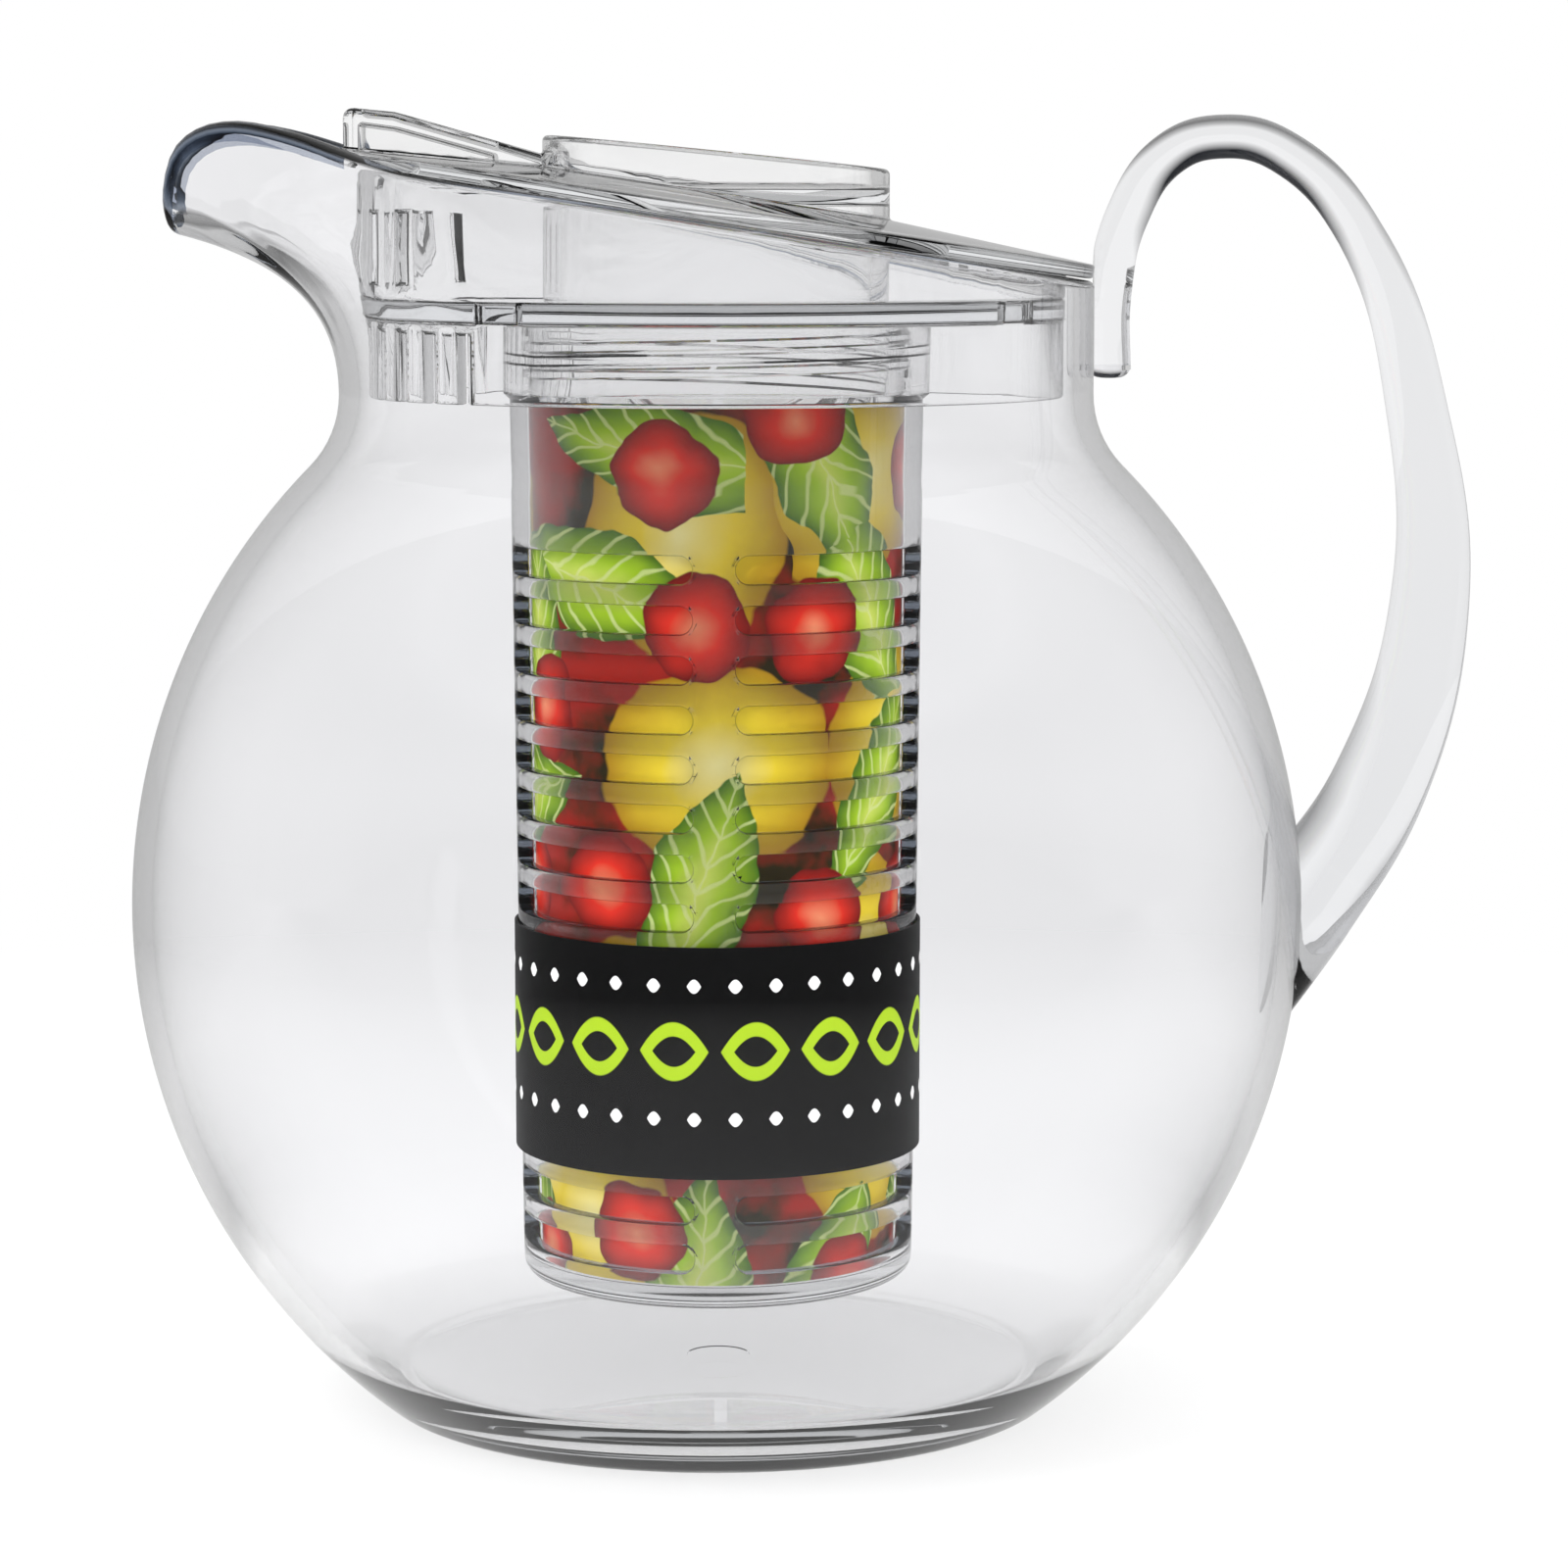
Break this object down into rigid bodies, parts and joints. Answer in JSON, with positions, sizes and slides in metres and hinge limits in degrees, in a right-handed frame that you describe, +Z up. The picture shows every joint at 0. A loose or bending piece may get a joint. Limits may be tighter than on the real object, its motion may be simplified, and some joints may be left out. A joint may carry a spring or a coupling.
{
  "type": "fruit infuser pitcher",
  "caption": "Clear round pitcher with a slanted rim, open pouring spout, bent rod handle, lift-out strainer lid and a slotted fruit infuser tube that screws under the lid.",
  "frame": {"origin": "centre of the flat base, on the table", "axes": "+Z up, the spout points to -X, the handle to +X"},
  "size_m": [0.2092, 0.183, 0.2028],
  "materials": {
    "jug_acrylic": "clear, polished",
    "handle_acrylic": "clear, polished",
    "lid_acrylic": "clear, polished",
    "infuser_acrylic": "clear, polished",
    "printed_card": "coated card with a printed fruit pattern",
    "dark_paper": "satin dark paper"
  },
  "bodies": {
    "jug": {"jug_body": "jug_acrylic", "handle": "handle_acrylic"},
    "lid": {"lid_cover": "lid_acrylic", "lid_base": "lid_acrylic"},
    "card": {"fruit_card": "printed_card"},
    "infuser": {"infuser_tube": "infuser_acrylic", "label_band": "dark_paper"}
  },
  "joints": [
    {"name": "lid_lift", "type": "slide", "parent": "jug", "child": "lid", "axis": [0, 0, 1], "range_m": [0, 0.19]},
    {"name": "infuser_drop", "type": "slide", "parent": "lid", "child": "card", "axis": [0, 0, -1], "range_m": [0, 0.0121]},
    {"name": "infuser_turn", "type": "hinge", "parent": "card", "child": "infuser", "pos_m": [0, 0, 0.165], "axis": [0, 0, -1], "range_deg": [0, 1080]}
  ],
  "couplings": [
    {"joint": "infuser_drop", "follows": "infuser_turn", "m_per_rad": 0.00063662}
  ]
}
